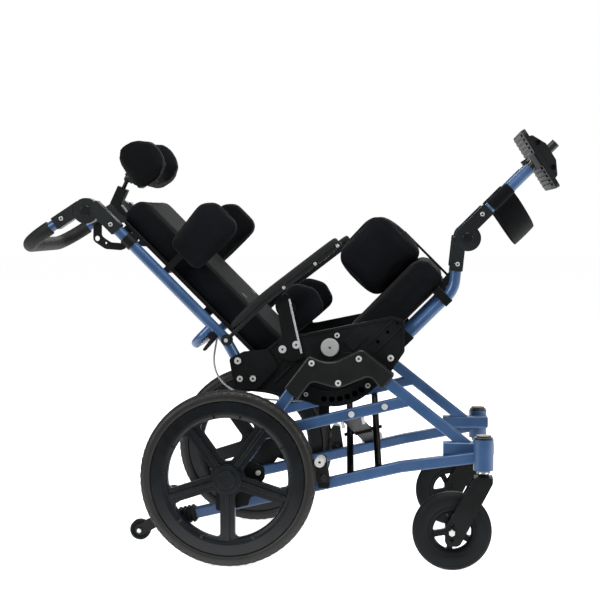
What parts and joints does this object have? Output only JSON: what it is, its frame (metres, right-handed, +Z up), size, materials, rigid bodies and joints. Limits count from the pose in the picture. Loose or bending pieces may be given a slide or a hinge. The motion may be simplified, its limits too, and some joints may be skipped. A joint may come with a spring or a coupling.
{
  "type": "special needs stroller",
  "caption": "Tilting support stroller for a child with side frames, spoked rear wheels, swivel casters, padded seat, headrest, pommel, legrest and push handle.",
  "frame": {"origin": "on the floor under the middle of the overall length and width", "axes": "+X forward, +Y to the occupant's left, +Z up"},
  "size_m": [1.2637, 0.586, 1.0006],
  "materials": {
    "frame_blue": "satin paint",
    "black_plastic": "grained",
    "black_metal": "powder coat",
    "tyre": "rubber",
    "steel": "plated",
    "grey_disc": "matte",
    "fabric": "woven",
    "foam": "foam"
  },
  "bodies": {
    "base": {"arch_tubes": "frame_blue", "upper_rails": "frame_blue", "lower_rails": "frame_blue", "caster_housings": "frame_blue", "pivot_covers": "black_plastic", "frame_plates": "frame_blue", "rear_axle_tube": "frame_blue", "cross_brace": "black_metal", "anti_tip_arms": "black_plastic", "tilt_locks": "black_plastic", "caster_bearings": "steel", "base_fittings": "steel", "control_cable": "black_plastic"},
    "seat": {"rocker_plates": "black_plastic", "tilt_pivots": "grey_disc", "seat_pan": "black_metal", "seat_cushion": "fabric", "back_canes": "frame_blue", "back_bar": "frame_blue", "back_shell": "black_plastic", "back_cushion": "fabric", "lateral_pads": "fabric", "hip_pads": "fabric", "seat_brackets": "black_metal", "leg_hangers": "frame_blue", "hinge_sockets": "black_plastic", "seat_bolts": "steel", "back_brackets": "black_metal"},
    "push_handle": {"handle_arms": "black_plastic", "push_bar": "frame_blue", "foam_grip": "foam"},
    "headrest_rod": {"headrest_mount": "black_plastic"},
    "headrest": {"headrest_pad": "fabric"},
    "legrest": {"knee_arms": "black_plastic", "leg_tubes": "frame_blue", "calf_strap": "fabric"},
    "foot_support": {"footplate": "black_plastic"},
    "pommel": {"pommel_bracket": "black_metal", "pommel_pad": "fabric"},
    "tilt_release": {"tilt_lever": "black_plastic"},
    "left_rear_wheel": {"rear_wheel_left": "black_plastic", "rear_tyre_left": "tyre"},
    "left_caster_fork": {"caster_fork_left": "black_metal"},
    "left_caster_wheel": {"caster_wheel_left": "black_plastic"},
    "left_anti_tip_wheel": {"anti_tip_wheel_left": "black_plastic"},
    "left_wheel_lock": {"wheel_lock_left": "black_plastic"},
    "left_armrest": {"arm_bar_left": "black_plastic", "arm_pad_left": "foam"},
    "left_handle_button": {"handle_button_left": "black_plastic"},
    "left_knee_button": {"knee_button_left": "black_plastic"},
    "right_rear_wheel": {"rear_wheel_right": "black_plastic", "rear_tyre_right": "tyre"},
    "right_caster_fork": {"caster_fork_right": "black_metal"},
    "right_caster_wheel": {"caster_wheel_right": "black_plastic"},
    "right_anti_tip_wheel": {"anti_tip_wheel_right": "black_plastic"},
    "right_wheel_lock": {"wheel_lock_right": "black_plastic"},
    "right_armrest": {"arm_bar_right": "black_plastic", "arm_pad_right": "foam"},
    "right_handle_button": {"handle_button_right": "black_plastic"},
    "right_knee_button": {"knee_button_right": "black_plastic"}
  },
  "joints": [
    {"name": "seat_tilt", "type": "hinge", "parent": "base", "child": "seat", "pos_m": [0.111, 0, 0.5], "axis": [0, 1, 0], "range_deg": [0, 53]},
    {"name": "handle_angle", "type": "hinge", "parent": "seat", "child": "push_handle", "pos_m": [-0.46034, 0, 0.81396], "axis": [0, 1, 0], "range_deg": [-25, 35]},
    {"name": "headrest_reach", "type": "slide", "parent": "seat", "child": "headrest_rod", "axis": [0.4226, 0, 0.9063], "range_m": [-0.012, 0.02]},
    {"name": "headrest_tilt", "type": "hinge", "parent": "headrest_rod", "child": "headrest", "pos_m": [-0.40307, 0, 0.89244], "axis": [0, 1, 0], "range_deg": [-12, 15]},
    {"name": "legrest_angle", "type": "hinge", "parent": "seat", "child": "legrest", "pos_m": [0.42566, 0, 0.75102], "axis": [0, 1, 0], "range_deg": [0, 75]},
    {"name": "footplate_height", "type": "slide", "parent": "legrest", "child": "foot_support", "axis": [0.7071, 0, 0.7071], "range_m": [-0.005, 0.02]},
    {"name": "pommel_flip", "type": "hinge", "parent": "seat", "child": "pommel", "pos_m": [0.39101, 0, 0.66122], "axis": [0, 1, 0], "range_deg": [0, 90]},
    {"name": "tilt_release_squeeze", "type": "hinge", "parent": "seat", "child": "tilt_release", "pos_m": [-0.16265, 0, 0.51768], "axis": [0, 1, 0], "range_deg": [0, 10], "stiffness_Nm_per_rad": 1.5, "springref_deg": -17.19},
    {"name": "left_rear_wheel_spin", "type": "hinge", "parent": "base", "child": "left_rear_wheel", "pos_m": [-0.119, 0.266, 0.203], "axis": [0, 1, 0], "continuous": true},
    {"name": "left_caster_swivel", "type": "hinge", "parent": "base", "child": "left_caster_fork", "pos_m": [0.462, 0.258, 0.264], "axis": [0, 0, 1], "continuous": true},
    {"name": "left_caster_spin", "type": "hinge", "parent": "left_caster_fork", "child": "left_caster_wheel", "pos_m": [0.392, 0.258, 0.09], "axis": [0, 1, 0], "continuous": true},
    {"name": "left_anti_tip_spin", "type": "hinge", "parent": "base", "child": "left_anti_tip_wheel", "pos_m": [-0.331, 0.222, 0.072], "axis": [0, 1, 0], "continuous": true},
    {"name": "left_wheel_lock_release", "type": "hinge", "parent": "base", "child": "left_wheel_lock", "pos_m": [0.09898, 0.242, 0.20397], "axis": [0, 1, 0], "range_deg": [0, 20]},
    {"name": "left_armrest_flip", "type": "hinge", "parent": "seat", "child": "left_armrest", "pos_m": [-0.12729, 0.217, 0.51626], "axis": [0, 1, 0], "range_deg": [-60, 0]},
    {"name": "left_handle_button_press", "type": "slide", "parent": "seat", "child": "left_handle_button", "axis": [0, -1, 0], "range_m": [0, 0.004], "stiffness_N_per_m": 400, "springref_m": -0.004},
    {"name": "left_knee_button_press", "type": "slide", "parent": "legrest", "child": "left_knee_button", "axis": [0, -1, 0], "range_m": [0, 0.004], "stiffness_N_per_m": 400, "springref_m": -0.004},
    {"name": "right_rear_wheel_spin", "type": "hinge", "parent": "base", "child": "right_rear_wheel", "pos_m": [-0.119, -0.266, 0.203], "axis": [0, 1, 0], "continuous": true},
    {"name": "right_caster_swivel", "type": "hinge", "parent": "base", "child": "right_caster_fork", "pos_m": [0.462, -0.258, 0.264], "axis": [0, 0, 1], "continuous": true},
    {"name": "right_caster_spin", "type": "hinge", "parent": "right_caster_fork", "child": "right_caster_wheel", "pos_m": [0.392, -0.258, 0.09], "axis": [0, 1, 0], "continuous": true},
    {"name": "right_anti_tip_spin", "type": "hinge", "parent": "base", "child": "right_anti_tip_wheel", "pos_m": [-0.331, -0.222, 0.072], "axis": [0, 1, 0], "continuous": true},
    {"name": "right_wheel_lock_release", "type": "hinge", "parent": "base", "child": "right_wheel_lock", "pos_m": [0.09898, -0.242, 0.20397], "axis": [0, 1, 0], "range_deg": [0, 20]},
    {"name": "right_armrest_flip", "type": "hinge", "parent": "seat", "child": "right_armrest", "pos_m": [-0.12729, -0.217, 0.51626], "axis": [0, 1, 0], "range_deg": [-60, 0]},
    {"name": "right_handle_button_press", "type": "slide", "parent": "seat", "child": "right_handle_button", "axis": [0, 1, 0], "range_m": [0, 0.004], "stiffness_N_per_m": 400, "springref_m": -0.004},
    {"name": "right_knee_button_press", "type": "slide", "parent": "legrest", "child": "right_knee_button", "axis": [0, 1, 0], "range_m": [0, 0.004], "stiffness_N_per_m": 400, "springref_m": -0.004}
  ]
}
